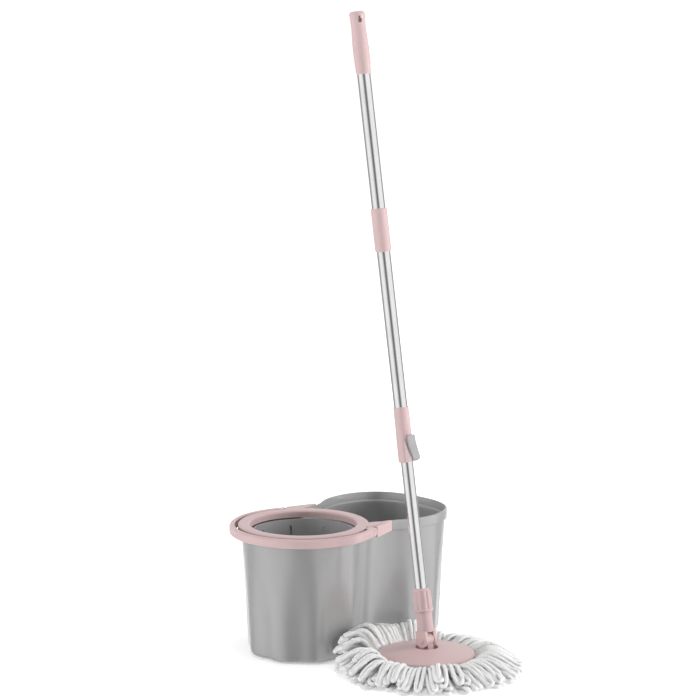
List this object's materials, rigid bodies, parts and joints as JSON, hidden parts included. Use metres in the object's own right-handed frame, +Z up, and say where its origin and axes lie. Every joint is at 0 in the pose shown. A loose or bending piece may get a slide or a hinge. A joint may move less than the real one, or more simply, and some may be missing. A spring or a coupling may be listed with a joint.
{
  "type": "spin mop",
  "caption": "Spin mop and bucket: two-ended grey bucket with a pink collar, spin basket and carry handle, and a round string mop on a telescopic press-to-spin pole.",
  "frame": {"origin": "on the floor under the middle of the bucket, midway between the centres of its two round ends", "axes": "+Z up; +X from the basket end to the open water end; the mop stands on the -Y side"},
  "size_m": [0.4156, 0.5098, 1.0865],
  "materials": {
    "grey_plastic": "gloss",
    "pink_plastic": "satin gloss",
    "lever_plastic": "satin",
    "pale_plastic": "matte",
    "chrome_tube": "polished",
    "steel": "ground",
    "bronze": "sintered",
    "microfibre": "soft pile"
  },
  "bodies": {
    "bucket": {"bucket_shell": "grey_plastic", "splash_collar": "pink_plastic", "spindle_post": "grey_plastic", "spindle_pin": "steel", "thrust_washer": "pale_plastic", "spindle_clip": "steel", "handle_pins": "pink_plastic"},
    "basket": {"basket_cup": "grey_plastic", "basket_bush": "bronze", "drive_boss": "grey_plastic"},
    "carry_handle": {"carry_handle": "pink_plastic"},
    "mop_head": {"swivel_knuckle": "pink_plastic", "stem_clip": "steel", "plate_cover": "pink_plastic", "refill_ring": "pink_plastic", "string_band": "microfibre", "mop_strings": "microfibre"},
    "lower_pole": {"yoke_socket": "pink_plastic", "pivot_pin": "pink_plastic", "tube_collet": "pale_plastic", "collar_nut": "pink_plastic", "lower_tube": "chrome_tube", "nut_housing": "pale_plastic", "clutch_ring": "pale_plastic", "drive_nut": "pale_plastic", "housing_cap": "pale_plastic"},
    "guide": {"guide_ring": "pale_plastic"},
    "upper_pole": {"rod_stop": "steel", "twist_rod": "steel", "rod_anchor": "pale_plastic", "sleeve_bush": "pale_plastic", "lock_sleeve": "pink_plastic", "lever_pin": "steel", "middle_tube": "chrome_tube", "coupler_insert": "pale_plastic", "coupler_sleeve": "pink_plastic", "upper_tube": "chrome_tube", "hand_grip": "pink_plastic"},
    "lock_lever": {"lock_lever": "lever_plastic"}
  },
  "joints": [
    {"name": "basket_spin", "type": "hinge", "parent": "bucket", "child": "basket", "pos_m": [-0.098, 0, 0.09], "axis": [0, 0, 1], "continuous": true},
    {"name": "handle_swing", "type": "hinge", "parent": "bucket", "child": "carry_handle", "pos_m": [-0.04, 0, 0.2125], "axis": [0, 1, 0], "range_deg": [0, 92]},
    {"name": "mop_lift", "type": "slide", "parent": "bucket", "child": "mop_head", "axis": [0, -0.5, 0.866], "range_m": [0, 0.35]},
    {"name": "pole_tilt", "type": "hinge", "parent": "mop_head", "child": "lower_pole", "pos_m": [-0.05, -0.239, 0.055], "axis": [1, 0, 0], "range_deg": [-10, 90]},
    {"name": "pole_twist", "type": "hinge", "parent": "lower_pole", "child": "guide", "pos_m": [-0.05, -0.17464, 0.46599], "axis": [0, -0.1547, -0.988], "range_deg": [0, 580]},
    {"name": "pole_press", "type": "slide", "parent": "guide", "child": "upper_pole", "axis": [0, -0.1547, -0.988], "range_m": [0, 0.145]},
    {"name": "lever_flip", "type": "hinge", "parent": "upper_pole", "child": "lock_lever", "pos_m": [-0.05, -0.20719, 0.35833], "axis": [1, 0, 0], "range_deg": [0, 95]}
  ],
  "couplings": [
    {"joint": "pole_twist", "follows": "pole_press", "rad_per_m": 69.813}
  ]
}
